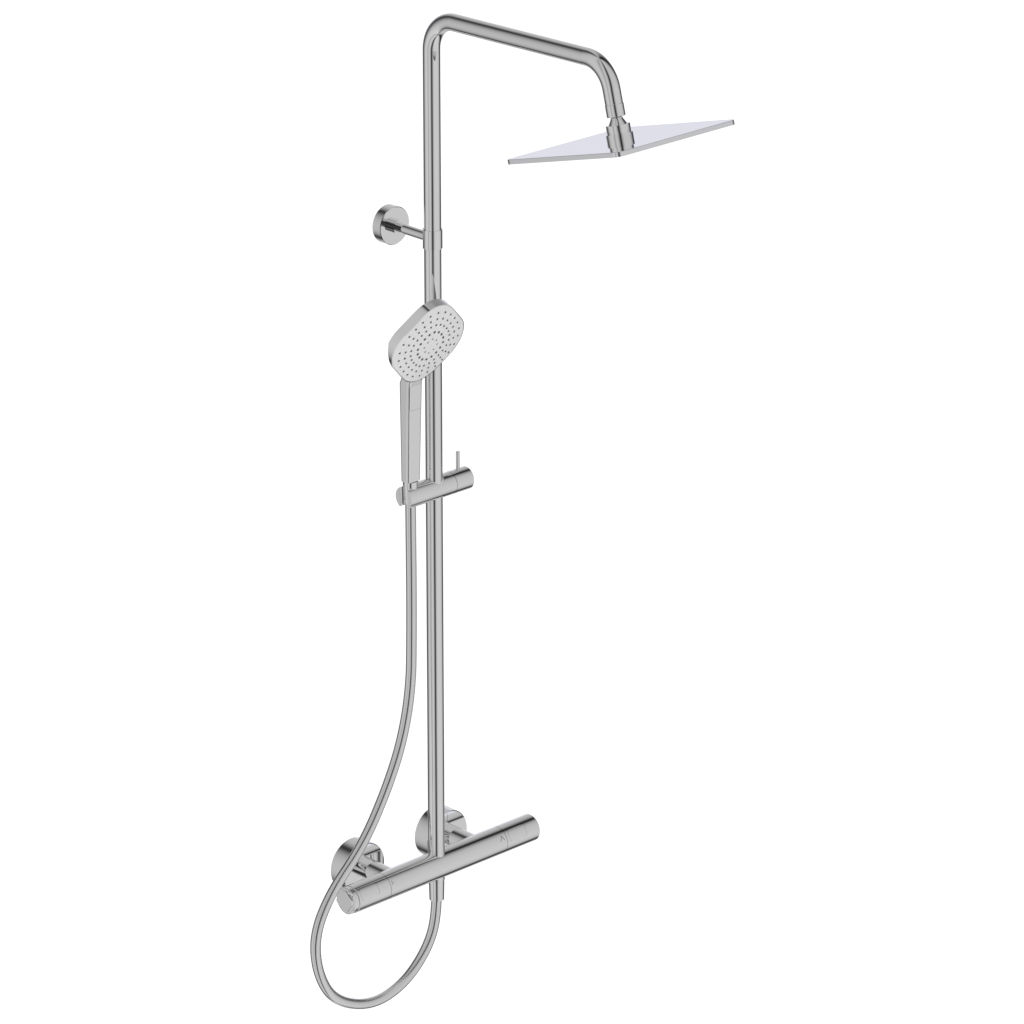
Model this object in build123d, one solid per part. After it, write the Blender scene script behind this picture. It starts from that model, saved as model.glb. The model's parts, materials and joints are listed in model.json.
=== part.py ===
from build123d import *
import math
import os

os.makedirs("parts", exist_ok=True)

# Rainfall shower column, in millimetres. +X runs to the right along the wall, +Y into the wall,
# +Z up. The origin is on the finished wall, midway between the two inlet unions.

# ---- driving dimensions ------------------------------------------------------------------------
inlet_centres = 150.0         # standard spacing of the hot and cold supplies
bar_to_wall = 85.0            # bar axis out from the wall
union_offset = 2.0            # eccentric: the mixer side sits this much above the wall side
bar_diameter = 37.5
bar_left = 97.0               # riser to the seam of the temperature handle
bar_right = 112.0             # riser to the seam of the flow handle
temperature_length = 55.4     # turning sleeve on the left
flow_length = 60.0            # turning sleeve on the right
pipe_diameter = 22.0
pipe_wall = 1.5
bracket_height = 867.5        # everything from here down is measured from the bar axis
arm_height = 1154.0           # arm centreline, at the riser
arm_rise = 1.0                # degrees
bend_radius = 42.0
head_reach = 332.0            # riser to the centre of the head
head_height = 1068.5          # top of the head, at its centre
head_tilt = 15.0              # degrees, outer edge raised
head_size = 200.0
head_thickness = 6.0
head_corner = 10.0
slider_height = 532.0
slider_diameter = 30.0
cradle_x = -41.0              # hose and handset axis, left of the riser
handle_height = 553.5         # bottom of the handset's handle
handle_length = 132.5
face_tilt = 21.3              # degrees that the handset's face looks down
face_size = 106.6             # across the flats of the handset's square head
face_corner = 38.0
hose_diameter = 14.0

# ---- clearances --------------------------------------------------------------------------------
seam = 0.5                    # visible gap between a fixed and a turning part
running = 0.05                # radial clearance of a turning or sliding fit
loose = 0.4                   # clearance of parts that pass without touching

# ---- derived places ----------------------------------------------------------------------------
X_DIR = (1, 0, 0)
Y_DIR = (0, 1, 0)
Z_DIR = (0, 0, 1)
bar_y = -bar_to_wall
bar_z = union_offset
bar_r = bar_diameter / 2
pipe_r = pipe_diameter / 2
pipe_bore = pipe_r - pipe_wall
bracket_z = bar_z + bracket_height
slider_z = bar_z + slider_height
slider_r = slider_diameter / 2
hose_r = hose_diameter / 2


# ---- makers ------------------------------------------------------------------------------------
def rod(radius, start, direction, length):
    """A cylinder that begins at start and runs along direction."""
    frame = Plane(origin=start, z_dir=direction)
    return frame * Cylinder(radius, length, align=(Align.CENTER, Align.CENTER, Align.MIN))


def tube(outer, inner, start, direction, length):
    """A straight tube, open at both ends."""
    before = Vector(*start) - Vector(*direction).normalized()
    return rod(outer, start, direction, length) - rod(inner, before, direction, length + 2)


def turned(profile, origin=(0, 0, 0), direction=Z_DIR):
    """A turned solid. The profile is a list of (radius, distance along the axis)."""
    face = Plane.XZ * make_face(Polyline(*profile, close=True))
    return Plane(origin=origin, z_dir=direction) * revolve(face, Axis.Z)


def block(low, high):
    """A box from its lowest to its highest corner."""
    size = [b - a for a, b in zip(low, high)]
    return Pos(*low) * Box(*size, align=(Align.MIN, Align.MIN, Align.MIN))


def upright(radius, low, high):
    """A cylinder about the z axis between two heights."""
    return Pos(0, 0, low) * Cylinder(radius, high - low, align=(Align.CENTER, Align.CENTER, Align.MIN))


def round_ended(radius, start, direction, length, edge):
    """A rod from start along direction with a rounded edge at its far end."""
    shape = upright(radius, 0, length)
    rim = shape.edges().filter_by(GeomType.CIRCLE).sort_by(Axis.Z)[-1]
    return Plane(origin=start, z_dir=direction) * fillet(rim, edge)


def ball_zone(outer, inner, low, high):
    """The part of a hollow ball between two heights."""
    return (Sphere(outer) - Sphere(inner)) & upright(outer + 1, low, high)


def slab(width, depth, corner, low, high):
    """An upright slab with rounded corners between two heights."""
    return Pos(0, 0, low) * extrude(RectangleRounded(width, depth, corner), high - low)


def on_bar(x):
    return (x, bar_y, bar_z)


def on_riser(z):
    return (0, bar_y, z)


def save(shape, name):
    solids = list(shape.solids())
    model = solids[0] if len(solids) == 1 else Compound(children=solids)
    model.label = name
    export_step(model, f"parts/{name}.step")


# ---- wall side: unions, filters, escutcheons and necks -------------------------------------------
escutcheon_r = 36.0
escutcheon_depth = 26.0
escutcheon_wall = 1.2
neck_r = 15.0                 # plain neck between the escutcheon and the bar
stub_r = 12.0                 # threaded inlet stub under the neck
thread_r = 10.48              # G1/2 male thread into the wall fitting
thread_root_r = 9.7           # the relief between the thread and the hexagon
water_bore = 6.5
union_front = -26.0           # where the mixer side of the union ends
filter_thickness = 1.5
neck_back = -18.0
unions = []
escutcheons = []
necks = []
filters = []
valves = []

for x in (-inlet_centres / 2, inlet_centres / 2):
    wall_end = rod(thread_r, (x, -4, 0), Y_DIR, 20) + rod(thread_root_r, (x, -8, 0), Y_DIR, 5)
    hexagon = Plane(origin=(x, -14, union_offset / 2), z_dir=Y_DIR) * extrude(RegularPolygon(13, 6), 8)
    mixer_end = rod(stub_r, (x, union_front, bar_z), Y_DIR, -14 - union_front)
    union = wall_end + hexagon + mixer_end
    union -= rod(water_bore, (x, union_front - 1, bar_z), Y_DIR, -8 - union_front)
    union -= rod(water_bore, (x, -12, 0), Y_DIR, 30)
    unions.append(union)

    cup = turned([(0, -escutcheon_depth), (escutcheon_r - 1, -escutcheon_depth),
                  (escutcheon_r, 1 - escutcheon_depth), (escutcheon_r, 0),
                  (escutcheon_r - escutcheon_wall, 0),
                  (escutcheon_r - escutcheon_wall, escutcheon_wall - escutcheon_depth),
                  (0, escutcheon_wall - escutcheon_depth)], (x, 0, 0), Y_DIR)
    cup -= rod(neck_r + running, (x, -escutcheon_depth - 1, bar_z), Y_DIR, 4)
    escutcheons.append(cup)

    neck = tube(neck_r, stub_r + running, (x, bar_y, bar_z), Y_DIR, neck_back - bar_y)
    neck -= rod(bar_r + running, on_bar(x - 30), X_DIR, 60)
    necks.append(neck)

    washer_front = union_front - filter_thickness
    filters.append(tube(stub_r - loose, water_bore, (x, washer_front, bar_z), Y_DIR, filter_thickness))
    valves.append(tube(water_bore + 1 - running, 4.0, (x, washer_front - 16, bar_z), Y_DIR, 14))

save(Compound(children=unions), "inlet_unions")
save(Compound(children=escutcheons), "inlet_escutcheons")
save(Compound(children=necks), "inlet_necks")
save(Compound(children=filters), "inlet_filter_washers")
save(Compound(children=valves), "check_valves")

# ---- mixer bar: chrome shell round a brass body ---------------------------------------------------
shell_wall = 1.6
core_r = bar_r - shell_wall - 0.1
cartridge_r = 12.5
cartridge_depth = 44.0
channel_r = 6.0
riser_seat_z = bar_z + 13.0
outlet_r = 9.5
outlet_collar_r = 10.9        # thin collar where the hose nut meets the bar
outlet_collar_drop = 20.2
outlet_end = bar_r + 10
spindle_r = 5.0
spindle_reach = 24.0          # how far a spindle stands out of the seam
spindle_root = 22.0
screw_hole_r = 2.1
left_seam = -bar_left
right_seam = bar_right

shell = rod(bar_r, on_bar(left_seam + seam / 2), X_DIR, right_seam - left_seam - seam)
shell += rod(outlet_collar_r, on_riser(bar_z), (0, 0, -1), outlet_collar_drop)
shell -= rod(bar_r - shell_wall, on_bar(left_seam - 1), X_DIR, right_seam - left_seam + 2)
for x in (-inlet_centres / 2, inlet_centres / 2):
    shell -= rod(stub_r + 0.2, on_bar(x), Y_DIR, 40)
shell -= rod(pipe_r + running, on_riser(bar_z), Z_DIR, 40)
shell -= rod(outlet_r + 0.2, on_riser(bar_z), (0, 0, -1), 40)
save(shell, "mixer_shell")

core = rod(core_r, on_bar(left_seam + 2), X_DIR, right_seam - left_seam - 4)
for x in (-inlet_centres / 2, inlet_centres / 2):
    core += rod(stub_r, on_bar(x), Y_DIR, union_front - filter_thickness - bar_y)
core += rod(outlet_r, on_riser(bar_z), (0, 0, -1), outlet_end)
for x in (-inlet_centres / 2, inlet_centres / 2):
    core -= rod(water_bore + 1, on_bar(x), Y_DIR, 80)
core -= rod(cartridge_r + running, on_bar(left_seam + 1), X_DIR, cartridge_depth + 1)
core -= rod(cartridge_r + running, on_bar(right_seam - 1), (-1, 0, 0), cartridge_depth + 1)
core -= rod(channel_r, on_bar(left_seam + 3), X_DIR, right_seam - left_seam - 6)
core -= rod(pipe_r + running, on_riser(riser_seat_z), Z_DIR, 20)
core -= rod(9.0 + running, on_riser(bar_z + 5), Z_DIR, 20)
core -= rod(4.5, on_riser(bar_z - 60), Z_DIR, 80)
save(core, "mixer_brass_body")


def cartridge(seam_x, outward):
    """A cartridge: a barrel in the body, a shoulder under its nut and a bore for the spindle."""
    direction = (outward, 0, 0)
    body = rod(cartridge_r, on_bar(seam_x - outward * (cartridge_depth - 1)), direction, cartridge_depth - 3)
    body += rod(11.0, on_bar(seam_x - outward * 3), direction, 13)
    body -= rod(spindle_r + running, on_bar(seam_x - outward * spindle_root), direction, 60)
    return body - rod(3.0, on_bar(seam_x - outward * 60), direction, 60)


def spindle(seam_x, outward):
    """The spindle that a handle sits on, threaded at its end for the handle's screw."""
    direction = (outward, 0, 0)
    start = on_bar(seam_x - outward * (spindle_root - 1))
    body = rod(spindle_r, start, direction, spindle_root - 1 + spindle_reach)
    return body - rod(screw_hole_r, on_bar(seam_x + outward * 8), direction, 20)


def handle_screw(seam_x, outward, length):
    """The screw that holds a handle on its spindle; its head sits in the handle's end."""
    direction = (outward, 0, 0)
    head_seat = seam_x + outward * (length - screw_pocket)
    head = rod(3.6, on_bar(head_seat), direction, 3.0)
    shank = rod(screw_hole_r - 0.1, on_bar(seam_x + outward * 10), direction, length - screw_pocket - 9)
    return head + shank - rod(1.5, on_bar(head_seat + outward * 1.4), direction, 4)


screw_pocket = 5.5
nuts = []
for seam_x, outward in ((left_seam, -1), (right_seam, 1)):
    nuts.append(tube(core_r - 1, 11.0 + running, on_bar(seam_x - outward * 2), (outward, 0, 0), 5))

save(cartridge(left_seam, -1), "thermostatic_cartridge")
save(cartridge(right_seam, 1), "diverter_cartridge")
save(Compound(children=nuts), "cartridge_nuts")
save(spindle(left_seam, -1), "temperature_spindle")
save(spindle(right_seam, 1), "flow_spindle")
save(handle_screw(left_seam, -1, temperature_length), "temperature_handle_screw")
save(handle_screw(right_seam, 1, flow_length), "flow_handle_screw")

# ---- handles -------------------------------------------------------------------------------------
handle_wall = 1.8
end_round = 1.2
button_x = 132.5              # both stop buttons sit this far from the riser
button_length = 30.0
button_width = 14.6
button_depth = 3.0
button_travel = 1.5
button_gap = 0.25
button_angle = 32.5           # degrees above the horizontal, on the room side
cap_gap = 0.5
cap_r = 18.2
cap_length = 8.2
diamond_height = 3.0
diamond_side = 25.2
diamond_corner = 5.0
diamond_turn = 10.0
flat_cap_r = bar_r - 4.0
flat_cap_thickness = 1.2


def button_frame(x):
    """Local z points out of the bar through the middle of a stop button, local x along the bar."""
    lean = math.radians(button_angle)
    outward = (0, -math.cos(lean), math.sin(lean))
    return Plane(origin=on_bar(x), x_dir=X_DIR, z_dir=outward)


def stop_button(x):
    """A pad that follows the handle's surface, on a stem with a retaining foot."""
    pad = slab(button_length, button_width, 2.5, bar_r - button_depth, bar_r + 5)
    pad &= Rot(0, 90, 0) * Cylinder(bar_r, 80)
    stem = upright(2.0, bar_r - button_depth - 3.2, bar_r - 1)
    return button_frame(x) * (pad + stem)


def button_well(x):
    """The pocket for a stop button, with the stem's guide hole under it."""
    floor = bar_r - button_depth - button_travel - 0.2
    gap = 2 * button_gap
    well = slab(button_length + gap, button_width + gap, 2.5 + button_gap, floor, bar_r + 5)
    guide = upright(2.0 + running, floor - 6, floor + 6)
    return button_frame(x) * (well + guide)


def button_spring(x):
    """The return spring under a stop button, drawn as the sleeve that its coils fill."""
    floor = bar_r - button_depth - button_travel - 0.2
    return button_frame(x) * (upright(3.6, floor, floor + button_travel + 0.2) - Cylinder(2.6, 80))


def handle(seam_x, outward, length, recess):
    """A turning sleeve: a thin wall, a hub on the spindle and a tray under the stop button."""
    direction = (outward, 0, 0)
    near = seam_x + outward * seam / 2
    body = round_ended(bar_r, on_bar(near), direction, length - seam / 2, end_round)
    body -= rod(bar_r - handle_wall, on_bar(near - outward), direction, length - 3.0)
    tray_bottom = bar_r - button_depth - button_travel - 2.4
    tray = slab(button_length + 5, button_width + 5, 3, tray_bottom, bar_r - 1)
    x = outward * button_x
    body += (button_frame(x) * tray) & rod(bar_r - 1, on_bar(near), direction, length - 1)
    body += rod(8.0, on_bar(seam_x + outward * 14), direction, length - 15)
    body -= rod(spindle_r + running, on_bar(seam_x + outward * 13), direction, spindle_reach - 13)
    body -= rod(screw_hole_r, on_bar(seam_x), direction, length + 5)
    body -= rod(4.0, on_bar(seam_x + outward * (length - screw_pocket)), direction, screw_pocket + 1)
    body -= button_well(x)
    if recess:
        body -= rod(flat_cap_r + running, on_bar(seam_x + outward * (length - recess)), direction, recess + 1)
    return body


save(handle(left_seam, -1, temperature_length, 0), "temperature_handle")
save(handle(right_seam, 1, flow_length, flat_cap_thickness), "flow_handle")
save(stop_button(-button_x), "temperature_stop_button")
save(stop_button(button_x), "flow_stop_button")
save(button_spring(-button_x), "temperature_button_spring")
save(button_spring(button_x), "flow_button_spring")

cap_start = left_seam - temperature_length
cap = turned([(0, cap_gap), (cap_r, cap_gap), (cap_r, cap_length - 1.5), (cap_r - 0.4, cap_length - 0.4),
              (cap_r - 1.5, cap_length), (0, cap_length)], on_bar(cap_start), (-1, 0, 0))
cap += rod(3.9, on_bar(cap_start + 2.0), (-1, 0, 0), 4)
diamond = extrude(RectangleRounded(diamond_side, diamond_side, diamond_corner), diamond_height, taper=12)
diamond = Rot(0, 0, 45 + diamond_turn) * diamond
cap += Plane(origin=on_bar(cap_start - cap_length), x_dir=Y_DIR, z_dir=(-1, 0, 0)) * diamond
save(cap, "temperature_end_cap")

cap_start = right_seam + flow_length
save(rod(flat_cap_r, on_bar(cap_start), (-1, 0, 0), flat_cap_thickness), "flow_end_cap")

# ---- riser and its joiner --------------------------------------------------------------------------
adapter = rod(9.0, on_riser(bar_z + 5), Z_DIR, riser_seat_z - bar_z - 5)
adapter += rod(pipe_bore - running, on_riser(riser_seat_z), Z_DIR, 22)
save(adapter - rod(5.0, on_riser(bar_z), Z_DIR, 60), "riser_adapter")

joint_gap = 1.0
riser_length = bracket_z - joint_gap - riser_seat_z
save(tube(pipe_r, pipe_bore, on_riser(riser_seat_z), Z_DIR, riser_length), "riser_pipe")

joiner = rod(pipe_bore - running, on_riser(bracket_z - 30), Z_DIR, 60)
joiner += rod(pipe_r - 0.2, on_riser(bracket_z - joint_gap), Z_DIR, 2 * joint_gap)
save(joiner - rod(7.0, on_riser(bracket_z - 31), Z_DIR, 62), "pipe_joiner")

# ---- wall bracket -----------------------------------------------------------------------------------
collar_r = 12.5
collar_height = 24.5
bracket_stem_r = 6.25
bracket_cup_r = 25.0
bracket_cup_depth = 14.7
bracket_neck_r = 9.5
bracket_neck_length = 9.0
bracket_hole_spacing = 26.0
bracket_hole_r = 2.25
boss_depth = 13.0

plate = rod(22.0, (0, -4, bracket_z), Y_DIR, 4) + rod(9.0, (0, -boss_depth, bracket_z), Y_DIR, boss_depth)
plate -= rod(bracket_stem_r + running, (0, -boss_depth - 1, bracket_z), Y_DIR, boss_depth - 2)
for x in (-bracket_hole_spacing / 2, bracket_hole_spacing / 2):
    plate -= rod(bracket_hole_r, (x, -5, bracket_z), Y_DIR, 6)
save(plate, "bracket_wall_plate")

stem = rod(bracket_stem_r, (0, bar_y, bracket_z), Y_DIR, bar_to_wall - 3)
save(stem - rod(collar_r, on_riser(bracket_z - 20), Z_DIR, 40), "bracket_stem")

cup = turned([(0, -bracket_cup_depth), (bracket_cup_r - 0.8, -bracket_cup_depth),
              (bracket_cup_r, 0.8 - bracket_cup_depth), (bracket_cup_r, 0), (bracket_cup_r - 1.2, 0),
              (bracket_cup_r - 1.2, 1.2 - bracket_cup_depth), (0, 1.2 - bracket_cup_depth)],
             (0, 0, bracket_z), Y_DIR)
save(cup - rod(bracket_stem_r + 0.2, (0, -20, bracket_z), Y_DIR, 20), "bracket_escutcheon")

neck_start = (0, -bracket_cup_depth - bracket_neck_length, bracket_z)
neck_collar = tube(bracket_neck_r, bracket_stem_r + running, neck_start, Y_DIR, bracket_neck_length)
save(neck_collar, "bracket_neck_collar")
save(tube(collar_r, pipe_r + running, on_riser(bracket_z - collar_height / 2), Z_DIR, collar_height),
     "bracket_pipe_collar")

# ---- rain head frame: local z runs up the drop leg, local zero is the top of the head ---------------
lean = math.radians(head_tilt)
rise = math.tan(math.radians(arm_rise))
leg_up = (0, math.sin(lean), math.cos(lean))
leg_length = (arm_height - head_height + head_reach * rise) / (math.cos(lean) + math.sin(lean) * rise)
corner_reach = head_reach - leg_length * math.sin(lean)
corner_z = bar_z + arm_height + corner_reach * rise
head_frame = Plane(origin=(0, bar_y - head_reach, bar_z + head_height), x_dir=X_DIR, z_dir=leg_up)


def on_leg(s):
    return tuple(head_frame.from_local_coords(Vector(0, 0, s)))


# heights above the head's top, along the leg
base_top = 7.65
ring_top = 18.35
cone_top = 25.45
collar_top = 26.7
nut_bottom = 28.0
nut_top = 43.3
ball_centre = 13.0
ball_r = 9.0
liner = 0.95                  # thickness of the seat and of the seal round the ball
base_r = 16.6
ring_r = 14.8
cone_r = 11.4
joint_collar_r = 7.45
nut_r = 11.45
nut_edge = 0.5
stem_r = 3.8
joint_bore = 6.7              # lets the stem lean inside the cap's collar

path = FilletPolyline(on_riser(bracket_z + joint_gap), on_riser(bar_z + arm_height),
                      (0, bar_y - corner_reach, corner_z), on_leg(nut_top), radius=bend_radius)
section = Plane(origin=on_riser(bracket_z + joint_gap), z_dir=Z_DIR) * (Circle(pipe_r) - Circle(pipe_bore))
save(sweep(section, path), "rain_arm_pipe")

fitting = upright(pipe_bore - running, nut_top, nut_top + 15) + upright(10.0, 34.0, nut_top)
save(head_frame * (fitting - upright(6.0, 30, 70)), "arm_end_fitting")

nut = fillet(upright(nut_r, nut_bottom, nut_top).edges().filter_by(GeomType.CIRCLE), nut_edge)
nut -= upright(10.1, nut_bottom + 2.5, nut_top + 1)
save(head_frame * (nut - upright(stem_r + 0.3, 20, 40)), "coupling_nut")

ball = Pos(0, 0, ball_centre) * Sphere(ball_r)
ball += upright(stem_r, ball_centre, nut_bottom + 4) + upright(9.9, nut_bottom + 2.5, 34.0)
save(head_frame * (ball - upright(2.5, 0, 60)), "ball_stem")

centre = Pos(0, 0, ball_centre)
seat_inner = ball_r + running
seat_outer = seat_inner + liner
seal_inner = seat_outer + running
seal_outer = seal_inner + liner
cavity_r = seal_outer + running
save(head_frame * (centre * ball_zone(seat_outer, seat_inner, -6.0, 6.0)), "ball_seat")
save(head_frame * (centre * ball_zone(seal_outer, seal_inner, -7.0, 6.4)), "ball_seal")

cap = turned([(0, base_top), (ring_r, base_top), (ring_r, ring_top), (cone_r, ring_top),
              (joint_collar_r, cone_top), (joint_collar_r, collar_top), (0, collar_top)])
cap -= centre * Sphere(cavity_r)
save(head_frame * (cap - upright(joint_bore, ball_centre, 60)), "ball_cap")

spigot_r = 8.0
base = upright(base_r, 0, base_top) + upright(spigot_r, -3.4, 1) - centre * Sphere(cavity_r)
save(head_frame * (base - upright(5.0, -10, 10)), "ball_base")

# ---- rain head -------------------------------------------------------------------------------------
head_wall = 1.2
head_edge = 0.6
head_top_wall = 1.0
face_thickness = 1.4
mat_thickness = 0.8
nozzle_rows = 12
nozzle_pitch = 15.0
hole_r = 2.2
nozzle_r = 1.9
nozzle_drop = 0.8

outer = slab(head_size, head_size, head_corner, -head_thickness, 0)
outer = fillet(outer.edges().group_by(Axis.Z)[-1], head_edge)
inner_size = head_size - 2 * head_wall
inner_corner = head_corner - head_wall
cavity = slab(inner_size, inner_size, inner_corner, -head_thickness - 1, -head_top_wall)
save(head_frame * (outer - cavity - upright(spigot_r + running, -10, 10)), "rain_head_top")
save(head_frame * (upright(12.0, -3.0, -head_top_wall) - upright(spigot_r + running, -10, 10)), "head_nut")

panel_size = inner_size - 2 * running
panel_corner = inner_corner - running
panel_top = face_thickness - head_thickness
panel = slab(panel_size, panel_size, panel_corner, -head_thickness, panel_top)
mat = slab(panel_size - 4, panel_size - 4, panel_corner, panel_top, panel_top + mat_thickness)
spots = GridLocations(nozzle_pitch, nozzle_pitch, nozzle_rows, nozzle_rows)
panel -= [spot * upright(hole_r, -10, 0) for spot in spots]
mat += [spot * upright(nozzle_r, -head_thickness - nozzle_drop, panel_top + 0.4) for spot in spots]
mat -= [spot * upright(0.7, -10, 0) for spot in spots]
save(head_frame * panel, "rain_head_face")
save(head_frame * mat, "rain_nozzle_mat")

# ---- slider ----------------------------------------------------------------------------------------
slider_left = -53.0
slider_seam = 27.0
slider_right = 57.0
lever_x = 41.5
lever_r = 2.5
lever_top = 571.6
bush_wall = 1.0
fork_width = 14.6
cone_nut_top = 553.0
cone_nut_bottom = 523.0
cone_nut_top_r = 10.1
cone_nut_bottom_r = 8.1
pad_r = 5.5
pad_travel = 0.5
spindle_thread_r = 4.5


def at_slider(x):
    return (x, bar_y, slider_z)


def at_cradle(z):
    return (cradle_x, bar_y, bar_z + z)


def cone(low, high, grow):
    """The cone of the hose nut, made larger by grow, between two heights."""
    slope = (cone_nut_top_r - cone_nut_bottom_r) / (cone_nut_top - cone_nut_bottom)
    low_r = cone_nut_bottom_r + (low - cone_nut_bottom) * slope + grow
    high_r = cone_nut_bottom_r + (high - cone_nut_bottom) * slope + grow
    return turned([(0, low), (low_r, low), (high_r, high), (0, high)], at_cradle(0))


barrel = rod(slider_r, at_slider(slider_left), X_DIR, slider_seam - seam / 2 - slider_left)
barrel -= rod(pipe_r + running + bush_wall + running, on_riser(slider_z - 30), Z_DIR, 60)
barrel -= rod(pad_r + running, at_slider(5), X_DIR, 60)
barrel -= cone(slider_height - 20, slider_height + 20, running)
fork = block((slider_left - 2, -fork_width / 2, -20), (cradle_x, fork_width / 2, 20))
barrel -= Pos(0, bar_y, slider_z) * fork
save(barrel, "slider_barrel")

bush = tube(pipe_r + running + bush_wall, pipe_r + running, on_riser(slider_z - 14), Z_DIR, 28)
bush = bush & rod(slider_r - 0.2, at_slider(-20), X_DIR, 40)
save(bush - rod(pad_r + 0.2, at_slider(0), X_DIR, 30), "slider_bush")

pad = rod(pad_r, at_slider(8), X_DIR, 8) - rod(pipe_r + running, on_riser(slider_z - 30), Z_DIR, 60)
save(pad, "brake_pad")

clamp_start = 16 + pad_travel + 0.1
save(rod(spindle_thread_r, at_slider(clamp_start), X_DIR, 38 - clamp_start), "clamp_spindle")

knob = turned([(0, seam / 2), (slider_r, seam / 2), (slider_r, slider_right - slider_seam - 0.8),
               (slider_r - 0.8, slider_right - slider_seam), (0, slider_right - slider_seam)],
              at_slider(slider_seam), X_DIR)
knob -= rod(spindle_thread_r, at_slider(slider_seam - 1), X_DIR, 12)
lever_foot = slider_z + 8
lever = turned([(0, 0), (lever_r, 0), (lever_r, bar_z + lever_top - lever_foot - 0.6),
                (lever_r - 0.6, bar_z + lever_top - lever_foot), (0, bar_z + lever_top - lever_foot)],
               (lever_x, bar_y, lever_foot))
knob -= rod(lever_r, (lever_x, bar_y, lever_foot), Z_DIR, 30)
save(knob, "slider_knob")
save(lever, "lever_pin")

# ---- hose and its nuts ---------------------------------------------------------------------------
hose_bore = 4.5
barb_r = 4.35
hose_top = 545.0
hose_bottom = -32.0
nut_taper_top = 10.5
nut_taper_bottom = 9.85
hose_nut_top = -20.5
hose_nut_bottom = -49.3

# places along the hose, in the plane of the bar: x along the wall, z above the bar axis
hose_route = [(-41, hose_top), (-41, 482), (-40.6, 412), (-41.2, 338), (-43, 268), (-59, 196), (-90, 131),
              (-131, 69), (-187, 20), (-216, -31), (-211, -88), (-183, -137), (-119, -166), (-61, -155),
              (-18, -118), (0, -75), (0, hose_bottom)]


def route_fillets(points):
    """The bend radius at each inner point: the arc uses 0.45 of the shorter run beside it."""
    radii = []
    for a, b, c in zip(points, points[1:], points[2:]):
        before = math.atan2(b[1] - a[1], b[0] - a[0])
        after = math.atan2(c[1] - b[1], c[0] - b[0])
        turn = abs((after - before + math.pi) % (2 * math.pi) - math.pi)
        radii.append(0.45 * min(math.dist(a, b), math.dist(b, c)) / math.tan(turn / 2))
    return radii


hose_radii = route_fillets(hose_route)
hose_path = FilletPolyline(*[(x, bar_y, bar_z + z) for x, z in hose_route], radius=hose_radii)
hose_section = Plane(origin=hose_path @ 0, z_dir=hose_path % 0) * (Circle(hose_r) - Circle(hose_bore))
hose = sweep(hose_section, hose_path)
save(hose, "shower_hose")
hose_area = math.pi * (hose_r ** 2 - hose_bore ** 2)
print("hose bend radii", [round(r) for r in hose_radii])
volume_ratio = hose.volume / hose_area / hose_path.length
print("hose length", round(hose_path.length, 1), "volume ratio", round(volume_ratio, 5))

nut = cone(cone_nut_bottom, cone_nut_top, 0)
nut -= rod(hose_r + 0.3, at_cradle(cone_nut_bottom - 1), Z_DIR, hose_top + 1.5 - cone_nut_bottom)
nut -= rod(6.3, at_cradle(cone_nut_bottom), Z_DIR, 60)
nut += rod(hose_r + 0.3, at_cradle(hose_top + 0.5), Z_DIR, 1.5) + rod(barb_r, at_cradle(526), Z_DIR, 20)
nut -= rod(3.0, at_cradle(500), Z_DIR, 60)
save(nut, "hose_cone_nut")

nut = turned([(0, hose_nut_bottom), (nut_taper_bottom, hose_nut_bottom), (nut_taper_top, hose_nut_top),
              (0, hose_nut_top)], on_riser(bar_z))
nut -= rod(outlet_r + running, on_riser(bar_z - 32.5), Z_DIR, 20)
nut -= rod(hose_r + 0.3, on_riser(bar_z - 60), Z_DIR, 40)
save(nut, "hose_lower_nut")

barb = rod(9.3, on_riser(bar_z - 31.5), Z_DIR, 31.5 - outlet_end)
barb += rod(barb_r, on_riser(bar_z - 48), Z_DIR, 17)
save(barb - rod(3.0, on_riser(bar_z - 60), Z_DIR, 50), "hose_lower_barb")

# ---- hand shower: handle ---------------------------------------------------------------------------
handle_low = (22.4, -8.1, 7.0)        # width, room side and wall side of the lower section
handle_high = (24.4, -11.9, 7.7)
neck_high = (23.0, -21.0, -4.6)
handle_top = handle_height + handle_length
neck_top = handle_top + 30.0
handle_corner = 4.0
shell_thickness = 1.8
spout_r = 6.25
tube_r = 4.0


def grip(section, z, inset=0.0):
    """One section of the handle: a rounded rectangle at a height, made smaller all round by inset."""
    width, front, back = section
    outline = RectangleRounded(width - 2 * inset, back - front - 2 * inset, handle_corner - inset)
    return Pos(cradle_x, bar_y + (front + back) / 2, bar_z + z) * outline


handle_outer = loft([grip(handle_low, handle_height), grip(handle_high, handle_top)])
handle_inner = loft([grip(handle_low, handle_height + 2, shell_thickness),
                     grip(handle_high, handle_top - 3, shell_thickness)])
neck = loft([grip(handle_high, handle_top), grip(neck_high, neck_top)])

down = math.radians(face_tilt)
face_apex = (cradle_x, bar_y - 40.0, bar_z + 744.0)
face_out = (0, -math.cos(down), -math.sin(down))
face_frame = Plane(origin=face_apex, x_dir=X_DIR, z_dir=face_out)
rim_back = 5.5
head_depth = 13.0
face_radius = 320.0
lip = 1.2
face_wall = 2.0
back_plane = -rim_back - head_depth
bevel_width = 18.0
bevel_depth = 9.0


def square(inset, low, high):
    """The turned square outline of the hand shower's head between two depths."""
    side = face_size - 2 * inset
    return Rot(0, 0, 45) * slab(side, side, face_corner - inset, low, high)


def dome(radius, inset, low):
    """What lies under a dome of this radius inside the square outline."""
    return square(inset, low, 5) & (Pos(0, 0, -face_radius) * Sphere(radius))


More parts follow.
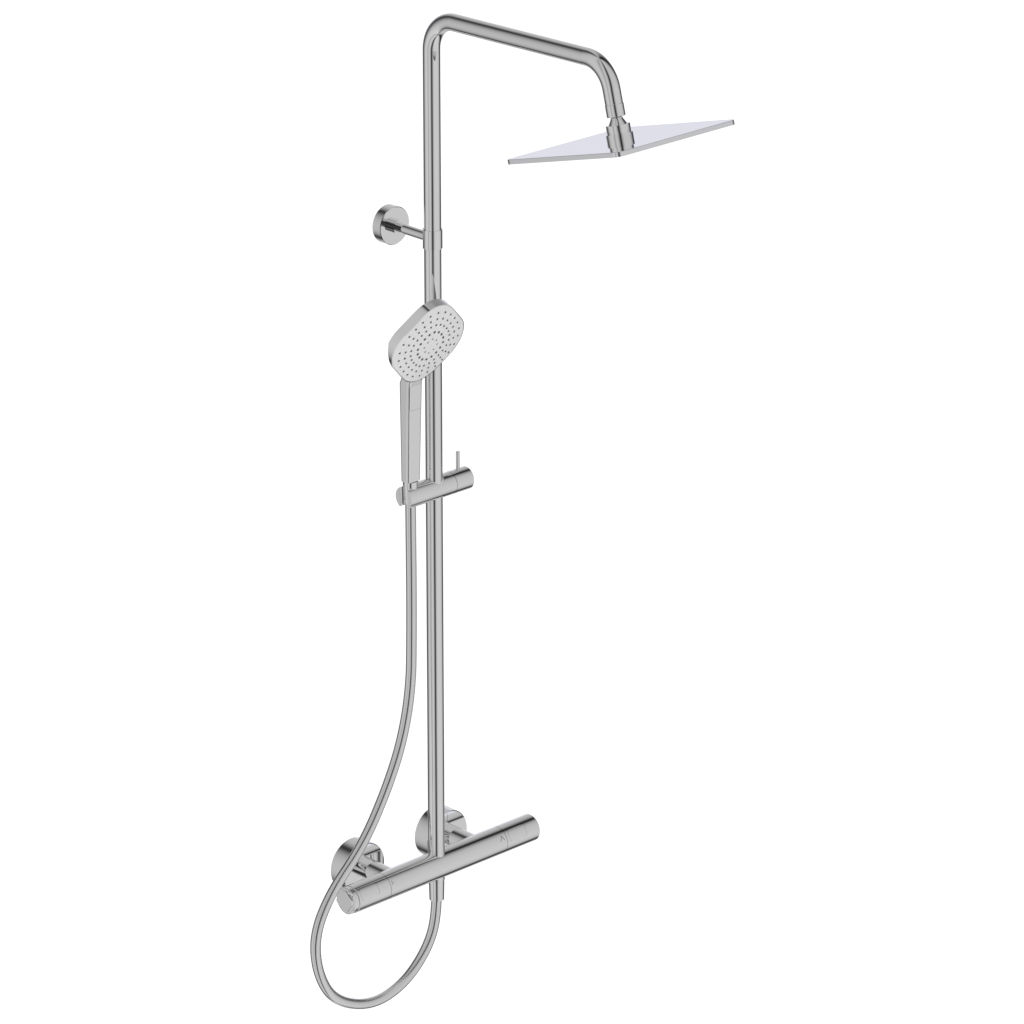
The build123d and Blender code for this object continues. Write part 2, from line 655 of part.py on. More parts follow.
def back_bevels(inset):
    """Wedges that bevel the two lower edges of the head's back, so that it stays clear of the riser."""
    bevels = []
    for side in (-1, 1):
        across = Vector(side, -1, 0).normalized()
        slope = across * bevel_depth - Vector(0, 0, bevel_width)
        edge = across * (face_size / 2) + Vector(0, 0, back_plane + bevel_depth)
        wedge = Plane(origin=edge - slope.normalized() * inset, z_dir=slope)
        bevels.append(wedge * Box(300, 300, 60, align=(Align.CENTER, Align.CENTER, Align.MIN)))
    return bevels


head_outer = face_frame * (dome(face_radius, 0, back_plane) - back_bevels(0))

button_low = handle_height + 98.5
button_high = handle_top
button_floor = -8.2
spray_travel = 1.5
spray_width = 20.0


def button_box(gap, floor):
    """The outline of the spray button, cut from the handle's front."""
    height = button_high - button_low - 1.0
    outline = RectangleRounded(spray_width + 2 * gap, height + 2 * gap, 3.0 + gap)
    start = (cradle_x, bar_y + floor, bar_z + (button_low + button_high - 1.0) / 2)
    return Plane(origin=start, x_dir=X_DIR, z_dir=(0, -1, 0)) * extrude(outline, 20)


well_floor = button_floor + spray_travel + 0.3
tray_low = (cradle_x - 12, bar_y - 14, bar_z + button_low - 4)
tray = block(tray_low, (cradle_x + 12, bar_y - 4.6, bar_z + button_high))
water_path = FilletPolyline(at_cradle(handle_height - 1.5), at_cradle(handle_top + 4),
                            (cradle_x, bar_y - 12.5, bar_z + handle_top + 21), radius=14)
water_hole = sweep(Plane(origin=water_path @ 0, z_dir=water_path % 0) * Circle(tube_r + running), water_path)

body = handle_outer + neck - head_outer
body -= handle_inner - tray
body -= button_box(button_gap, well_floor)
body -= rod(spout_r + running, at_cradle(handle_height - 5), Z_DIR, 8)
body -= water_hole
save(body, "handset_body")

button = button_box(0, button_floor) & handle_outer
save(button, "spray_button")
middle_z = bar_z + (button_low + button_high) / 2
save(tube(4.5, 3.4, (cradle_x, bar_y + well_floor - 1.5, middle_z), Y_DIR, 1.5), "spray_button_spring")

water = sweep(Plane(origin=water_path @ 0, z_dir=water_path % 0) * Circle(tube_r), water_path)
water += rod(spout_r, at_cradle(handle_height - 6), Z_DIR, 8)
water += rod(8.0, at_cradle(handle_height + 2), Z_DIR, 2) & handle_inner
water -= sweep(Plane(origin=water_path @ 0, z_dir=water_path % 0) * Circle(2.8), water_path)
water -= rod(2.8, at_cradle(handle_height - 10), Z_DIR, 12)
save(water, "handset_water_tube")

# ---- hand shower: head -----------------------------------------------------------------------------
ring_radii = (47.9, 39.3, 30.9, 20.7, 10.5)
ring_counts = (24, 24, 24, 16, 8)
ring_wave = 0.031             # how far the rings follow the square outline
ring_hole_r = (1.5, 1.5, 1.5, 1.9, 1.3)

shell = head_outer - face_frame * (square(lip, back_plane + 1.8, 5) - back_bevels(1.8))
shell -= water_hole
save(shell, "handset_head_shell")

panel = dome(face_radius, lip + running, back_plane + 1.8)
panel -= Pos(0, 0, -face_radius) * Sphere(face_radius - face_wall)
mat = dome(face_radius - face_wall, lip + 1.0, back_plane + 1.8)
mat -= Pos(0, 0, -face_radius) * Sphere(face_radius - face_wall - 1.0)
holes = []
tips = []
for ring_radius, count, spot_r in zip(ring_radii, ring_counts, ring_hole_r):
    for i in range(count):
        angle = math.radians(90 + 360 * i / count)
        r = ring_radius * (1 + ring_wave * math.cos(4 * angle))
        top = math.sqrt(face_radius ** 2 - r ** 2) - face_radius
        place = Pos(r * math.cos(angle), r * math.sin(angle), 0)
        holes.append(place * upright(spot_r, top - 4, top + 3))
        tips.append(place * upright(spot_r - 0.25, top - face_wall - 0.5, top + 0.6))
panel -= holes
mat += tips
save(face_frame * panel, "handset_face")
save(face_frame * mat, "handset_nozzle_mat")
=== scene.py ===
import json
import math

import bmesh
import bpy
from mathutils import Matrix, Vector


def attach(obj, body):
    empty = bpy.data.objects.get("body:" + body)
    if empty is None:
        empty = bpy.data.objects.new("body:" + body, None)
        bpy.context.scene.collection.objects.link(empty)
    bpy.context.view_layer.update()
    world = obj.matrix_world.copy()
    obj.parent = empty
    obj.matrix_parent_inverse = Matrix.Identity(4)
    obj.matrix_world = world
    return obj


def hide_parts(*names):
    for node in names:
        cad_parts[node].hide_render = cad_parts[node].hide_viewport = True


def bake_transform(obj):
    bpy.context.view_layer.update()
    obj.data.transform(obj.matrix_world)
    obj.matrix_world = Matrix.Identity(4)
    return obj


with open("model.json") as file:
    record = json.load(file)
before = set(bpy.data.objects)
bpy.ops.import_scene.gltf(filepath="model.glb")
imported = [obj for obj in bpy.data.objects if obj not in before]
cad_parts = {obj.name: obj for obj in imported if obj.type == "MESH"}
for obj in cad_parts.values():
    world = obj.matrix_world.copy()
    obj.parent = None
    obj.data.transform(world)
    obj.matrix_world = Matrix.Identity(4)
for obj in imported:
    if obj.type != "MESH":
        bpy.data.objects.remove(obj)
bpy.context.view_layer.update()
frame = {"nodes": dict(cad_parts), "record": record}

BAR_Y = -0.085
BAR_Z = 0.002


# ---- node trees ---------------------------------------------------------------------------------
class Term:
    """A value in a node tree. Arithmetic on it adds Math nodes."""

    def __init__(self, tree, socket):
        self.tree = tree
        self.socket = socket

    def math(self, operation, *others):
        sockets = {0: self, **dict(enumerate(others, 1))}
        return add_node(self.tree, "ShaderNodeMath", {"operation": operation}, sockets)

    def __add__(self, other):
        return self.math("ADD", other)

    def __sub__(self, other):
        return self.math("SUBTRACT", other)

    def __rsub__(self, other):
        return add_node(self.tree, "ShaderNodeMath", {"operation": "SUBTRACT"}, {0: other, 1: self})

    def __mul__(self, other):
        return self.math("MULTIPLY", other)

    def __truediv__(self, other):
        return self.math("DIVIDE", other)

    __radd__ = __add__
    __rmul__ = __mul__

    def __getitem__(self, name):
        """Another output of the same node."""
        return Term(self.tree, self.socket.node.outputs[name])


def add_node(tree, kind, settings=None, sockets=None):
    """Adds a node. Its settings are made first, then its sockets take values or links."""
    node = tree.nodes.new(kind)
    for name, value in (settings or {}).items():
        setattr(node, name, value)
    for name, value in (sockets or {}).items():
        if isinstance(value, Term):
            tree.links.new(value.socket, node.inputs[name])
        else:
            node.inputs[name].default_value = value
    return Term(tree, node.outputs[0]) if node.outputs else node


def grey(value):
    return (value, value, value, 1.0)


def new_material(name):
    material = bpy.data.materials.new(name)
    material.use_nodes = True
    material.node_tree.nodes.clear()
    return material, material.node_tree


def finish_material(tree, sockets):
    shader = add_node(tree, "ShaderNodeBsdfPrincipled", None, sockets)
    add_node(tree, "ShaderNodeOutputMaterial", None, {"Surface": shader})


def noise(tree, scale, detail=3.0, stretch=(1, 1, 1)):
    """Fractal noise on the piece's own coordinates, in cycles per metre."""
    place = add_node(tree, "ShaderNodeTexCoord")["Object"]
    place = add_node(tree, "ShaderNodeMapping", None, {"Vector": place, "Scale": stretch})
    return add_node(tree, "ShaderNodeTexNoise", None, {"Vector": place, "Scale": scale, "Detail": detail})


def blend_colours(tree, factor, first, second):
    """A mix of two colours, as the colour result of a Mix node."""
    node = add_node(tree, "ShaderNodeMix", {"data_type": "RGBA"}, {0: factor, 6: first, 7: second})
    return Term(tree, node.socket.node.outputs[2])


# cycles per metre of each kind of noise
DRIFT_SCALE = 14.0
SMUDGE_SCALE = 60.0
SCRATCH_SCALE = 900.0
MOULDING_DRIFT_SCALE = 25.0
GRAIN_SCALE = 1800.0
# metres of bump
SCRATCH_DEPTH = 0.0002
GRAIN_DEPTH = 0.0001


def bump(tree, strength, distance, height):
    sockets = {"Strength": strength, "Distance": distance, "Height": height}
    return add_node(tree, "ShaderNodeBump", None, sockets)


def metal(name, light, dark, rough_low, rough_high, stretch=(1, 1, 1), scratch=0.0):
    """A metal whose tone and polish drift gently over the piece, with an optional machined grain."""
    material, tree = new_material(name)
    drift = noise(tree, DRIFT_SCALE, 2.0)
    smudge = noise(tree, SMUDGE_SCALE, 4.0)
    sockets = {
        "Base Color": blend_colours(tree, drift, light, dark),
        "Metallic": 1.0,
        "Roughness": smudge * (rough_high - rough_low) + rough_low,
    }
    if scratch:
        grain = noise(tree, SCRATCH_SCALE, 2.0, stretch)
        sockets["Normal"] = bump(tree, scratch, SCRATCH_DEPTH, grain)
    finish_material(tree, sockets)
    return material


def moulding(name, light, dark, rough_low, rough_high, grain=0.15):
    """A moulded plastic or rubber with a fine moulded grain."""
    material, tree = new_material(name)
    drift = noise(tree, MOULDING_DRIFT_SCALE, 2.0)
    fine = noise(tree, GRAIN_SCALE, 2.0)
    finish_material(tree, {
        "Base Color": blend_colours(tree, drift, light, dark),
        "Roughness": fine * (rough_high - rough_low) + rough_low,
        "Normal": bump(tree, grain, GRAIN_DEPTH, fine),
    })
    return material


chrome = metal("polished_chrome", grey(0.94), grey(0.91), 0.01, 0.035)
mirror_steel = metal("mirror_steel", (0.93, 0.93, 0.96, 1), (0.91, 0.91, 0.945, 1), 0.015, 0.04)
chromed_plastic = metal("chromed_plastic", grey(0.94), grey(0.91), 0.015, 0.05)
brass = metal("machined_brass", (0.78, 0.6, 0.3, 1), (0.7, 0.53, 0.25, 1), 0.22, 0.36, (1, 1, 12), 0.2)
steel = metal("bright_steel", grey(0.62), grey(0.55), 0.2, 0.35, (1, 1, 10), 0.15)
hose_silver = metal("silver_hose_skin", grey(0.9), grey(0.85), 0.05, 0.1)
face_grey = moulding("satin_face", grey(0.68), grey(0.64), 0.3, 0.42)
rubber = moulding("nozzle_rubber", grey(0.16), grey(0.12), 0.5, 0.7, 0.3)
pale_rubber = moulding("pale_rubber", grey(0.34), grey(0.28), 0.5, 0.7, 0.3)
white_plastic = moulding("inner_plastic", (0.82, 0.82, 0.8, 1), (0.78, 0.78, 0.75, 1), 0.4, 0.5)
print_ink = moulding("printed_mark", grey(0.1), grey(0.07), 0.4, 0.5)

FINISHES = {
    "chrome": chrome,
    "mirror_steel": mirror_steel,
    "chromed_plastic": chromed_plastic,
    "satin_grey": face_grey,
    "nozzle_rubber": rubber,
    "inner_plastic": white_plastic,
    "brass": brass,
    "steel": steel,
    "silver_hose": hose_silver,
}
for entry in frame["record"]["subparts"]:
    node = frame["nodes"][entry["node"]]
    node.data.materials.clear()
    node.data.materials.append(FINISHES[entry["material_slot"]])

# ---- camera ---------------------------------------------------------------------------------------
CAMERA_AZIMUTH = math.radians(-43.62)
CAMERA_ELEVATION = math.radians(21.086)
CAMERA_PLACE = (-3.90488, -4.32713, 2.72402)
CAMERA_LENS = 169.34


def aim(azimuth, elevation):
    """The turn of a camera that looks at the object from this direction."""
    flat = math.cos(elevation)
    back = Vector((math.sin(azimuth) * flat, -math.cos(azimuth) * flat, math.sin(elevation)))
    right = Vector((math.cos(azimuth), math.sin(azimuth), 0))
    return Matrix((right, back.cross(right), back)).transposed().to_4x4()


camera = bpy.data.objects.new("camera", bpy.data.cameras.new("camera"))
camera.data.lens = CAMERA_LENS
camera.data.sensor_width = 36.0
camera.data.clip_start = 0.1
camera.data.clip_end = 200.0
camera.matrix_world = Matrix.Translation(CAMERA_PLACE) @ aim(CAMERA_AZIMUTH, CAMERA_ELEVATION)
bpy.context.collection.objects.link(camera)
bpy.context.scene.camera = camera

# ---- hose -------------------------------------------------------------------------------------------
HOSE_RADIUS = 0.007
# millimetres along the wall from the riser, and above the bar's axis
HOSE_ROUTE = [(-41, 545), (-41, 482), (-40.6, 412), (-41.2, 338), (-43, 268), (-59, 196), (-90, 131),
              (-131, 69), (-187, 20), (-216, -31), (-211, -88), (-183, -137), (-119, -166), (-61, -155),
              (-18, -118), (0, -75), (0, -32)]
CURVE_STEPS = 24
HOSE_SIDES = 24


def route_curve(name, points):
    """A smooth curve with these control points."""
    data = bpy.data.curves.new(name, "CURVE")
    data.dimensions = "3D"
    data.resolution_u = CURVE_STEPS
    spline = data.splines.new("NURBS")
    spline.points.add(len(points) - 1)
    for point, place in zip(spline.points, points):
        point.co = (*place, 1.0)
    spline.order_u = 3
    spline.use_endpoint_u = True
    return bpy.data.objects.new(name, data)


def plain_mesh(obj):
    """The evaluated shape of an object as a mesh of its own."""
    bpy.context.view_layer.update()
    return bpy.data.meshes.new_from_object(obj.evaluated_get(bpy.context.evaluated_depsgraph_get()))


def keep(mesh, name):
    obj = bpy.data.objects.new(name, mesh)
    bpy.context.collection.objects.link(obj)
    return obj


hose_line = route_curve("hose_line", [(x / 1000, BAR_Y, BAR_Z + z / 1000) for x, z in reversed(HOSE_ROUTE)])
bpy.context.collection.objects.link(hose_line)
hose_path = [v.co.copy() for v in plain_mesh(hose_line).vertices]


def geometry_tree(name, inputs):
    """A Geometry Nodes tree with named size inputs. Returns it with its input node."""
    tree = bpy.data.node_groups.new(name, "GeometryNodeTree")
    tree.interface.new_socket("Geometry", in_out="INPUT", socket_type="NodeSocketGeometry")
    for label, value in inputs.items():
        kind = "NodeSocketInt" if isinstance(value, int) else "NodeSocketFloat"
        socket = tree.interface.new_socket(label, in_out="INPUT", socket_type=kind)
        socket.default_value = value
    tree.interface.new_socket("Geometry", in_out="OUTPUT", socket_type="NodeSocketGeometry")
    given = add_node(tree, "NodeGroupInput")
    return tree, given


def end_tree(tree, geometry, material):
    real = add_node(tree, "GeometryNodeRealizeInstances", None, {"Geometry": geometry})
    painted = add_node(tree, "GeometryNodeSetMaterial", None, {"Geometry": real, "Material": material})
    add_node(tree, "NodeGroupOutput", None, {"Geometry": painted})


def grow(base, tree, name, flat=False):
    """Runs a tree on an object and keeps the result as a plain mesh."""
    modifier = base.modifiers.new(name, "NODES")
    modifier.node_group = tree
    made = keep(plain_mesh(base), name)
    base.modifiers.remove(modifier)
    for polygon in made.data.polygons:
        polygon.use_smooth = not flat
    return made


# the hose: a tube whose skin swells in a shallow helix over its inner winding
tree, given = geometry_tree("hose_tree", {"Radius": HOSE_RADIUS, "Rib Pitch": 0.0034, "Rib Height": 0.00006,
                                          "Ring Spacing": 0.00085})
line = add_node(tree, "GeometryNodeResampleCurve", {"mode": "LENGTH"},
                {"Curve": given["Geometry"], "Length": given["Ring Spacing"]})
along = add_node(tree, "GeometryNodeSplineParameter")["Length"]
held = add_node(tree, "GeometryNodeStoreNamedAttribute", {"data_type": "FLOAT", "domain": "POINT"},
                {"Geometry": line, "Name": "along", "Value": along})
ring = add_node(tree, "GeometryNodeCurvePrimitiveCircle", None,
                {"Resolution": HOSE_SIDES, "Radius": given["Radius"]})
turn = add_node(tree, "GeometryNodeSplineParameter")["Factor"]
ring = add_node(tree, "GeometryNodeStoreNamedAttribute", {"data_type": "FLOAT", "domain": "POINT"},
                {"Geometry": ring, "Name": "turn", "Value": turn})
skin = add_node(tree, "GeometryNodeCurveToMesh", None,
                {"Curve": held, "Profile Curve": ring, "Fill Caps": True})
at = add_node(tree, "GeometryNodeInputNamedAttribute", {"data_type": "FLOAT"}, {"Name": "along"})
round_it = add_node(tree, "GeometryNodeInputNamedAttribute", {"data_type": "FLOAT"}, {"Name": "turn"})
swell = ((at / given["Rib Pitch"] + round_it) * math.tau).math("SINE") * given["Rib Height"]
outward = add_node(tree, "GeometryNodeInputNormal")
shift = add_node(tree, "ShaderNodeVectorMath", {"operation": "SCALE"}, {0: outward, "Scale": swell})
skin = add_node(tree, "GeometryNodeSetPosition", None, {"Geometry": skin, "Offset": shift})
end_tree(tree, skin, hose_silver)
hose = grow(hose_line, tree, "shower_hose_skin")
bpy.data.objects.remove(hose_line)
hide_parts("shower_hose")
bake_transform(hose)

# ---- nozzles ----------------------------------------------------------------------------------------
HEAD_TILT = math.radians(15)
HEAD_CENTRE = (0, -0.417, 1.0705)       # the middle of the rain head's top
HEAD_FRAME = Matrix.Translation(HEAD_CENTRE) @ Matrix.Rotation(-HEAD_TILT, 4, "X")
FACE_TILT = math.radians(21.3)
FACE_CENTRE = (-0.041, -0.125, 0.746)   # the top of the hand shower's domed face
FACE_OUT = (0, -math.cos(FACE_TILT), -math.sin(FACE_TILT))
FACE_RADIUS = 0.32                      # of the dome itself
NOZZLE_SIDES = 12
NOZZLE_TAPER = 0.85                     # tip radius as a share of the root's
BORE_SHARE = 0.5                        # bore radius and depth as shares of the tip and the nozzle


def out_frame(origin, outward):
    """A frame at a point with its z axis outward and its x axis along the bar."""
    outward = Vector(outward)
    x_axis = Vector((1, 0, 0))
    return Matrix.Translation(origin) @ Matrix((x_axis, outward.cross(x_axis), outward)).transposed().to_4x4()


def nozzle_shape(tree, radius, length):
    """A tapered rubber nozzle that points along z from its root, with a bore in its tip."""
    cone = add_node(tree, "GeometryNodeMeshCone", None,
                    {"Vertices": NOZZLE_SIDES, "Radius Top": radius * NOZZLE_TAPER, "Radius Bottom": radius,
                     "Depth": length})
    tip = add_node(tree, "GeometryNodeExtrudeMesh", {"mode": "FACES"},
                   {"Mesh": cone, "Selection": cone["Top"], "Offset Scale": 0.0, "Individual": False})
    ring = add_node(tree, "GeometryNodeScaleElements", None,
                    {"Geometry": tip, "Selection": tip["Top"], "Scale": BORE_SHARE})
    return add_node(tree, "GeometryNodeExtrudeMesh", {"mode": "FACES"},
                    {"Mesh": ring, "Selection": tip["Top"], "Offset Scale": length * -BORE_SHARE,
                     "Individual": False})


def empty_base(name):
    return keep(bpy.data.meshes.new(name), name)


def join_all(tree, parts):
    join = tree.nodes.new("GeometryNodeJoinGeometry")
    for part in parts:
        tree.links.new(part.socket, join.inputs[0])
    return Term(tree, join.outputs[0])


def settle(obj, node, body):
    """The piece stands for a CAD node, which is hidden, and goes on its body."""
    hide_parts(node)
    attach(obj, body)


def dome_height(across):
    """How far the hand shower's domed face has dropped at this distance from its middle."""
    return (FACE_RADIUS * FACE_RADIUS - across * across).math("SQRT") - FACE_RADIUS


# local z points down out of the rain head's face
tree, given = geometry_tree("rain_nozzle_tree", {"Rows": 12, "Pitch": 0.015, "Nozzle Radius": 0.0019,
                                                 "Nozzle Length": 0.0022, "Root Height": 0.0046,
                                                 "Sheet Size": 0.1935, "Sheet Thickness": 0.0008})
span = (given["Rows"] - 1) * given["Pitch"]
grid = add_node(tree, "GeometryNodeMeshGrid", None,
                {"Size X": span, "Size Y": span, "Vertices X": given["Rows"], "Vertices Y": given["Rows"]})
shape = nozzle_shape(tree, given["Nozzle Radius"], given["Nozzle Length"])
rows = add_node(tree, "GeometryNodeInstanceOnPoints", None, {"Points": grid, "Instance": shape})
size = add_node(tree, "ShaderNodeCombineXYZ", None, {0: given["Sheet Size"], 1: given["Sheet Size"],
                                                     2: given["Sheet Thickness"]})
sheet = add_node(tree, "GeometryNodeMeshCube", None, {"Size": size})
low = add_node(tree, "ShaderNodeCombineXYZ", None, {2: given["Sheet Thickness"] * -0.5})
sheet = add_node(tree, "GeometryNodeSetPosition", None, {"Geometry": sheet, "Offset": low})
lift = add_node(tree, "ShaderNodeCombineXYZ", None, {2: given["Root Height"]})
both = add_node(tree, "GeometryNodeTransform", None,
                {"Geometry": join_all(tree, [rows, sheet]), "Translation": lift})
end_tree(tree, both, rubber)
base = empty_base("rain_nozzle_base")
mat = grow(base, tree, "rain_nozzles", flat=True)
mat.data.transform(HEAD_FRAME @ Matrix.Rotation(math.pi, 4, "X"))
settle(mat, "rain_nozzle_mat", "rain_head")
bpy.data.objects.remove(base)

RING_WAVE = 0.031
RINGS = [(0.0479, 24, 0.00147), (0.0393, 24, 0.00147), (0.0309, 24, 0.00147), (0.0207, 16, 0.00187)]
INNER_RING = [(0.0105, 8, 0.00105)]
TIP_LENGTH = 0.0031
TIP_HEIGHT = 0.0005                     # how far a nozzle stands out of the face
SHEET_THICKNESS = 0.0008                # the sheet that the nozzles grow from, inside the head
SHEET_DEPTH = 0.0025
SHEET_RADIUS = 0.05
SHEET_SIDES = 48
SHEET_RINGS = 8


def nozzle_rings(name, rings, material, sheet_radius):
    """Rings of nozzles on the hand shower's domed face, that follow its square outline a little."""
    inputs = {"Wave": RING_WAVE, "Tip Length": TIP_LENGTH}
    for i, (radius, count, nozzle) in enumerate(rings, 1):
        inputs.update({f"Ring {i} Radius": radius, f"Ring {i} Count": count, f"Ring {i} Nozzle": nozzle})
    tree, given = geometry_tree(name, inputs)
    made = []
    for i in range(1, len(rings) + 1):
        line = add_node(tree, "GeometryNodeMeshLine", None, {"Count": given[f"Ring {i} Count"]})
        turn = add_node(tree, "GeometryNodeInputIndex") / given[f"Ring {i} Count"] * math.tau + math.pi / 2
        across = ((turn * 4).math("COSINE") * given["Wave"] + 1) * given[f"Ring {i} Radius"]
        height = dome_height(across) + TIP_HEIGHT - given["Tip Length"]
        place = add_node(tree, "ShaderNodeCombineXYZ", None, {0: turn.math("COSINE") * across,
                                                              1: turn.math("SINE") * across, 2: height})
        line = add_node(tree, "GeometryNodeSetPosition", None, {"Geometry": line, "Position": place})
        shape = nozzle_shape(tree, given[f"Ring {i} Nozzle"], given["Tip Length"])
        made.append(add_node(tree, "GeometryNodeInstanceOnPoints", None, {"Points": line, "Instance": shape}))
    if sheet_radius:
        sheet = add_node(tree, "GeometryNodeMeshCylinder", None,
                         {"Vertices": SHEET_SIDES, "Side Segments": 1, "Fill Segments": SHEET_RINGS,
                          "Radius": sheet_radius, "Depth": SHEET_THICKNESS})
        place = add_node(tree, "GeometryNodeInputPosition")
        across = add_node(tree, "ShaderNodeVectorMath", {"operation": "LENGTH"},
                          {0: add_node(tree, "ShaderNodeVectorMath", {"operation": "MULTIPLY"},
                                       {0: place, 1: (1, 1, 0)})})["Value"]
        drop = add_node(tree, "ShaderNodeCombineXYZ", None, {2: dome_height(across) - SHEET_DEPTH})
        made.append(add_node(tree, "GeometryNodeSetPosition", None, {"Geometry": sheet, "Offset": drop}))
    end_tree(tree, join_all(tree, made), material)
    base = empty_base(name + "_base")
    nozzles = grow(base, tree, name, flat=True)
    bpy.data.objects.remove(base)
    nozzles.data.transform(out_frame(FACE_CENTRE, FACE_OUT))
    return nozzles


settle(nozzle_rings("handset_nozzles", RINGS, rubber, SHEET_RADIUS),
       "handset_nozzle_mat", "handset")
mist = nozzle_rings("handset_mist_nozzles", INNER_RING, pale_rubber, 0.0)
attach(mist, "handset")

# ---- springs ----------------------------------------------------------------------------------------
WIRE_RADIUS = 0.0002
WIRE_SIDES = 8
TURNS = 2.5
TURN_STEPS = 24


def coil(name, node, frame_matrix, radius, height, parent, child):
    """A coil spring from the frame's origin up its z axis."""
    tree, given = geometry_tree(name + "_tree", {"Coil Radius": radius, "Turns": TURNS,
                                                 "Coil Height": height - 2 * WIRE_RADIUS,
                                                 "Wire Radius": WIRE_RADIUS})
    spiral = add_node(tree, "GeometryNodeCurveSpiral", None,
                      {"Resolution": TURN_STEPS, "Rotations": given["Turns"], "Height": given["Coil Height"],
                       "Start Radius": given["Coil Radius"], "End Radius": given["Coil Radius"]})
    wire = add_node(tree, "GeometryNodeCurvePrimitiveCircle", None,
                    {"Resolution": WIRE_SIDES, "Radius": given["Wire Radius"]})
    body = add_node(tree, "GeometryNodeCurveToMesh", None,
                    {"Curve": spiral, "Profile Curve": wire, "Fill Caps": True})
    end_tree(tree, body, steel)
    base = empty_base(name + "_base")
    made = grow(base, tree, name)
    bpy.data.objects.remove(base)
    made.data.transform(frame_matrix @ Matrix.Translation((0, 0, WIRE_RADIUS)))
    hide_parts(node)
    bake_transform(made)


BAR_RADIUS = 0.01875
BUTTON_PLACE = 0.1325
BUTTON_LEAN = math.radians(32.5)
WELL_FLOOR = 0.01405                    # from the bar's axis to the bottom of a button's pocket
BUTTON_COIL = (0.0031, 0.0017)          # radius and height
SPRAY_COIL = (0.00395, 0.0015)
SPRAY_COIL_FOOT = (-0.041, BAR_Y - 0.0064, 0.671)
button_out = Vector((0, -math.cos(BUTTON_LEAN), math.sin(BUTTON_LEAN)))
for side, name in ((-1, "temperature"), (1, "flow")):
    foot = Vector((side * BUTTON_PLACE, BAR_Y, BAR_Z)) + button_out * WELL_FLOOR
    coil(name + "_button_coil", name + "_button_spring", out_frame(foot, button_out), *BUTTON_COIL,
         name + "_handle", name + "_button")
coil("spray_button_coil", "spray_button_spring", out_frame(SPRAY_COIL_FOOT, (0, -1, 0)), *SPRAY_COIL,
     "handset", "spray_button")

# ---- printed marks ----------------------------------------------------------------------------------
MARK_LIFT = 0.00002
MARK_THICKNESS = 0.00003
STROKE_STEPS = 4


def mark(name, strokes, width):
    """Thin printed strokes on the front of the bar. A stroke is two points: along the bar, and round it."""
    made = bmesh.new()
    for first, last in strokes:
        run = Vector(last) - Vector(first)
        side = Vector((-run.y, run.x)).normalized() * (width / 2)
        rings = []
        for i in range(STROKE_STEPS + 1):
            middle = Vector(first) + run * (i / STROKE_STEPS)
            ring = []
            for edge in (side, -side):
                for lift in (MARK_LIFT, MARK_LIFT + MARK_THICKNESS):
                    x, arc = middle + edge
                    angle = BUTTON_LEAN + arc / BAR_RADIUS
                    reach = BAR_RADIUS + lift
                    place = (x, BAR_Y - reach * math.cos(angle), BAR_Z + reach * math.sin(angle))
                    ring.append(made.verts.new(place))
            rings.append(ring)
        for a, b in zip(rings, rings[1:]):
            for i, j in ((0, 1), (1, 3), (3, 2), (2, 0)):
                made.faces.new((a[i], a[j], b[j], b[i]))
        for ring in (rings[0], rings[-1]):
            made.faces.new((ring[0], ring[1], ring[3], ring[2]))
    bmesh.ops.recalc_face_normals(made, faces=made.faces)
    mesh = bpy.data.meshes.new(name)
    made.to_mesh(mesh)
    mesh.materials.append(print_ink)
    piece = keep(mesh, name)
    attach(piece, "column")


mark("flow_mark", [((0.101, -0.0035), (0.1045, 0.0035)), ((0.1045, 0.0035), (0.108, -0.0035))], 0.0008)
mark("temperature_mark", [((-0.093, -0.003), (-0.093, 0.003)), ((-0.0905, 0.0), (-0.0895, 0.0))], 0.0007)

# ---- floor, world and lights -----------------------------------------------------------------------
FLOOR_Z = -1.05
FLOOR_RADIUS = 60
bpy.ops.mesh.primitive_circle_add(vertices=96, radius=FLOOR_RADIUS, fill_type="NGON",
                                  location=(0, 0, FLOOR_Z))
floor = bpy.context.object
floor.name = "floor"
pale, tree = new_material("pale_floor")
finish_material(tree, {"Base Color": blend_colours(tree, noise(tree, 5.0), grey(0.3), grey(0.29)),
                       "Roughness": 0.9, "Emission Color": grey(1.0), "Emission Strength": 1.0})
floor.data.materials.append(pale)
floor.visible_glossy = False

world = bpy.data.worlds.new("studio")
bpy.context.scene.world = world
world.use_nodes = True
tree = world.node_tree
tree.nodes.clear()
direction = add_node(tree, "ShaderNodeTexCoord")["Generated"]
parts = add_node(tree, "ShaderNodeSeparateXYZ", None, {"Vector": direction})
azimuth = parts["Y"].math("ARCTAN2", parts["X"]) * math.degrees(1)
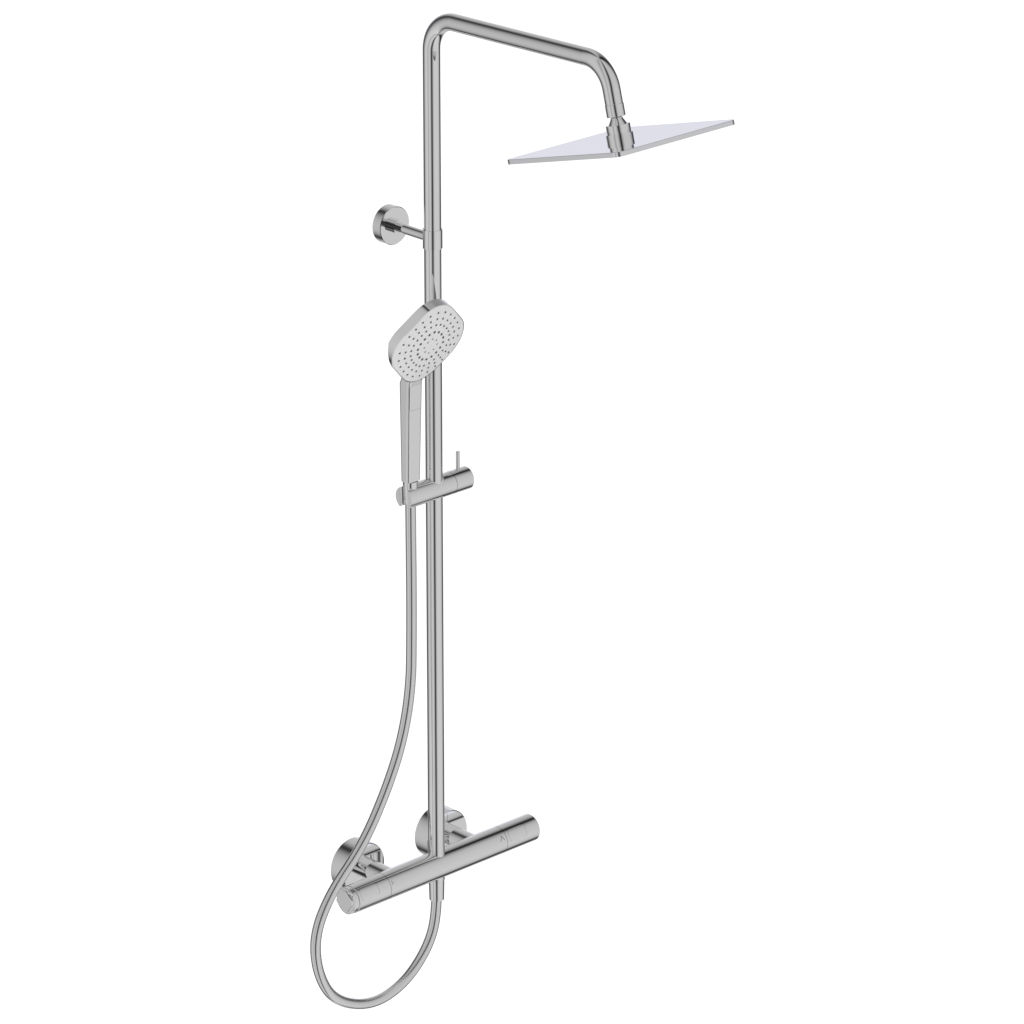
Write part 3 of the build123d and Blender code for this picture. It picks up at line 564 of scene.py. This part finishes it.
# dark cards that the metal reflects: middle and width in degrees, and darkness
CARDS = [(3, 27, 0.985), (98, 28, 0.93), (-131, 16, 0.97), (180, 9, 0.35)]
ROOM_LEVEL = 0.6
ROOM_FALL = -0.08                       # change of the room's level from the horizon to straight up
room = parts["Z"] * ROOM_FALL + ROOM_LEVEL
for place, width, depth in CARDS:
    gap = (azimuth - place).math("WRAP", 180.0, -180.0) / width
    room = room * (1 - (gap * gap * -1.0).math("EXPONENT") * depth)
WINDOW_PLACE = 50.0
WINDOW_WIDTH = 30.0
WINDOW_HEIGHT = 0.2
WINDOW_LEVEL = 0.3
WINDOW_TINT = (0.9, 0.9, 1.2)
aside = (azimuth - WINDOW_PLACE) / WINDOW_WIDTH
above = parts["Z"] / WINDOW_HEIGHT
window = ((aside * aside + above * above) * -1.0).math("EXPONENT") * WINDOW_LEVEL
glow = add_node(tree, "ShaderNodeCombineColor", None,
                {channel: room + window * share for channel, share in enumerate(WINDOW_TINT)})
# the camera sees plain white, and light and reflections see the studio
rays = add_node(tree, "ShaderNodeLightPath")
studio = add_node(tree, "ShaderNodeBackground", None, {"Color": glow, "Strength": 1.0})
plain = add_node(tree, "ShaderNodeBackground", None, {"Color": grey(1.0), "Strength": 1.0})
mixed = add_node(tree, "ShaderNodeMixShader", None, {0: rays["Is Camera Ray"], 1: studio, 2: plain})
add_node(tree, "ShaderNodeOutputWorld", None, {"Surface": mixed})

LIGHTS_AIM = Vector((0, -0.2, 0.4))


def soft_light(name, place, size, power):
    """A square area light that faces the object."""
    lamp = bpy.data.objects.new(name, bpy.data.lights.new(name, "AREA"))
    lamp.data.size = size
    lamp.data.energy = power
    lamp.location = place
    lamp.rotation_euler = (LIGHTS_AIM - Vector(place)).to_track_quat("-Z", "Y").to_euler()
    lamp.visible_glossy = False
    bpy.context.collection.objects.link(lamp)


soft_light("key", (-2.5, -3.5, 3.5), 2.5, 60)
soft_light("fill", (3.5, -2.0, 2.0), 3.0, 30)
bpy.context.scene.view_settings.view_transform = "Standard"
